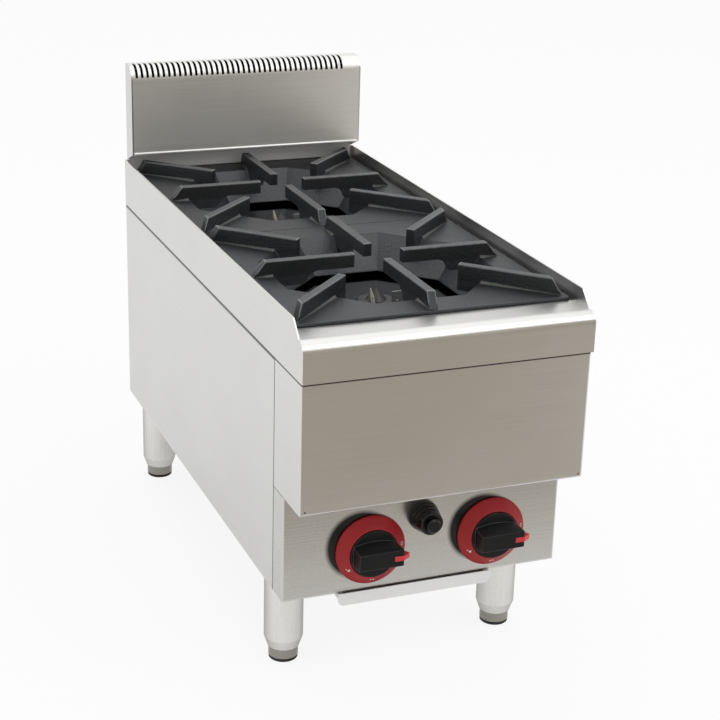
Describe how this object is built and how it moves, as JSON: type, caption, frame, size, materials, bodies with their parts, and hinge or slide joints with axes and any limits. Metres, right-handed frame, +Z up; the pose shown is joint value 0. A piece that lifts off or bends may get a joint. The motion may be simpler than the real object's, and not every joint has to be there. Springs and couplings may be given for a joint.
{
  "type": "benchtop gas cooktop",
  "caption": "Narrow benchtop gas cooktop on adjustable legs: finned cast-iron pan supports over burners, push-and-turn taps, igniter button, louvred backguard and slide-out drip tray.",
  "frame": {"origin": "on the bench, under the middle of the whole outline", "axes": "+X to the right as seen from the front, +Y to the back, +Z up"},
  "size_m": [0.3, 0.675, 0.527],
  "materials": {
    "brushed_sheet": "brushed stainless sheet",
    "inner_sheet": "plain sheet, dull",
    "spill_sheet": "semi-gloss sheet",
    "cast_iron": "matt black enamel on cast iron",
    "cap_steel": "heat-dulled steel",
    "probe_metal": "polished",
    "steel_pipe": "drawn tube",
    "brass": "machined",
    "pipe_alloy": "drawn tube",
    "bright_steel": "bright plated",
    "knob_black": "moulded, satin",
    "pointer_red": "moulded",
    "bezel_red": "moulded, satin",
    "igniter_black": "moulded",
    "leg_steel": "brushed tube",
    "foot_steel": "turned",
    "pad_black": "moulded"
  },
  "bodies": {
    "cooktop_body": {"back_panel": "brushed_sheet", "back_screws": "bright_steel", "backguard_back": "brushed_sheet", "backguard_end_left": "brushed_sheet", "backguard_end_right": "brushed_sheet", "backguard_shell": "brushed_sheet", "base_frame": "inner_sheet", "bezel_left": "bezel_red", "bezel_right": "bezel_red", "burner_body_front": "cast_iron", "burner_body_rear": "cast_iron", "burner_rails": "inner_sheet", "control_panel": "brushed_sheet", "front_panel": "brushed_sheet", "gas_pipes": "pipe_alloy", "igniter_body": "igniter_black", "igniter_collar": "igniter_black", "injectors": "brass", "inlet_nipple": "brass", "leg_front_left": "leg_steel", "leg_front_right": "leg_steel", "leg_nuts": "bright_steel", "leg_rear_left": "leg_steel", "leg_rear_right": "leg_steel", "manifold": "steel_pipe", "manifold_saddles": "inner_sheet", "pilot_brackets": "inner_sheet", "side_panel_left": "brushed_sheet", "side_panel_right": "brushed_sheet", "supply_pipe": "steel_pipe", "tap_left": "brass", "tap_right": "brass", "thermocouples": "probe_metal", "tray_runners": "inner_sheet", "worktop": "brushed_sheet"},
    "knob_push_left": {"return_washer_left": "bright_steel"},
    "knob_turn_left": {"knob_left": "knob_black", "pointer_left": "pointer_red", "spindle_left": "bright_steel"},
    "knob_push_right": {"return_washer_right": "bright_steel"},
    "knob_turn_right": {"knob_right": "knob_black", "pointer_right": "pointer_red", "spindle_right": "bright_steel"},
    "igniter_button": {"igniter_button": "igniter_black"},
    "drip_tray": {"drip_tray": "brushed_sheet"},
    "pan_support_front": {"pan_support_front": "cast_iron"},
    "pan_support_rear": {"pan_support_rear": "cast_iron"},
    "spill_pan_front": {"spill_pan_front": "spill_sheet"},
    "spill_pan_rear": {"spill_pan_rear": "spill_sheet"},
    "burner_cap_front": {"burner_cap_front": "cap_steel"},
    "burner_cap_rear": {"burner_cap_rear": "cap_steel"},
    "foot_front_left": {"foot_front_left": "foot_steel", "foot_pad_front_left": "pad_black"},
    "foot_front_right": {"foot_front_right": "foot_steel", "foot_pad_front_right": "pad_black"},
    "foot_rear_left": {"foot_rear_left": "foot_steel", "foot_pad_rear_left": "pad_black"},
    "foot_rear_right": {"foot_rear_right": "foot_steel", "foot_pad_rear_right": "pad_black"}
  },
  "joints": [
    {"name": "knob_push_left", "type": "slide", "parent": "cooktop_body", "child": "knob_push_left", "axis": [0, 1, 0], "range_m": [0, 0.004], "stiffness_N_per_m": 1200, "springref_m": -0.003},
    {"name": "knob_turn_left", "type": "hinge", "parent": "knob_push_left", "child": "knob_turn_left", "pos_m": [-0.058, -0.2975, 0.149], "axis": [0, -1, 0], "range_deg": [0, 270]},
    {"name": "knob_push_right", "type": "slide", "parent": "cooktop_body", "child": "knob_push_right", "axis": [0, 1, 0], "range_m": [0, 0.004], "stiffness_N_per_m": 1200, "springref_m": -0.003},
    {"name": "knob_turn_right", "type": "hinge", "parent": "knob_push_right", "child": "knob_turn_right", "pos_m": [0.074, -0.2975, 0.149], "axis": [0, -1, 0], "range_deg": [0, 270]},
    {"name": "igniter_press", "type": "slide", "parent": "cooktop_body", "child": "igniter_button", "axis": [0, 1, 0], "range_m": [0, 0.005], "stiffness_N_per_m": 2000, "springref_m": -0.002},
    {"name": "drip_tray_pull", "type": "slide", "parent": "cooktop_body", "child": "drip_tray", "axis": [0, -1, 0], "range_m": [0, 0.44]},
    {"name": "pan_support_front_lift", "type": "slide", "parent": "cooktop_body", "child": "pan_support_front", "axis": [0, 0, 1], "range_m": [0, 0.2]},
    {"name": "spill_pan_front_lift", "type": "slide", "parent": "cooktop_body", "child": "spill_pan_front", "axis": [0, 0, 1], "range_m": [0, 0.1]},
    {"name": "pan_support_rear_tilt", "type": "hinge", "parent": "cooktop_body", "child": "pan_support_rear", "pos_m": [0, 0.3095, 0.395], "axis": [-1, 0, 0], "range_deg": [0, 14]},
    {"name": "spill_pan_rear_tilt", "type": "hinge", "parent": "cooktop_body", "child": "spill_pan_rear", "pos_m": [0, 0.307, 0.3877], "axis": [-1, 0, 0], "range_deg": [0, 7]},
    {"name": "burner_cap_front_lift", "type": "slide", "parent": "cooktop_body", "child": "burner_cap_front", "axis": [0, 0, 1], "range_m": [0, 0.12]},
    {"name": "burner_cap_rear_lift", "type": "slide", "parent": "cooktop_body", "child": "burner_cap_rear", "axis": [0, 0, 1], "range_m": [0, 0.12]},
    {"name": "foot_front_left_screw", "type": "slide", "parent": "cooktop_body", "child": "foot_front_left", "axis": [0, 0, 1], "range_m": [-0.02, 0.01]},
    {"name": "foot_front_right_screw", "type": "slide", "parent": "cooktop_body", "child": "foot_front_right", "axis": [0, 0, 1], "range_m": [-0.02, 0.01]},
    {"name": "foot_rear_left_screw", "type": "slide", "parent": "cooktop_body", "child": "foot_rear_left", "axis": [0, 0, 1], "range_m": [-0.02, 0.01]},
    {"name": "foot_rear_right_screw", "type": "slide", "parent": "cooktop_body", "child": "foot_rear_right", "axis": [0, 0, 1], "range_m": [-0.02, 0.01]}
  ],
  "couplings": [
    {"joint": "spill_pan_front_lift", "follows": "pan_support_front_lift", "ratio": 0.5},
    {"joint": "spill_pan_rear_tilt", "follows": "pan_support_rear_tilt", "ratio": 0.5}
  ]
}
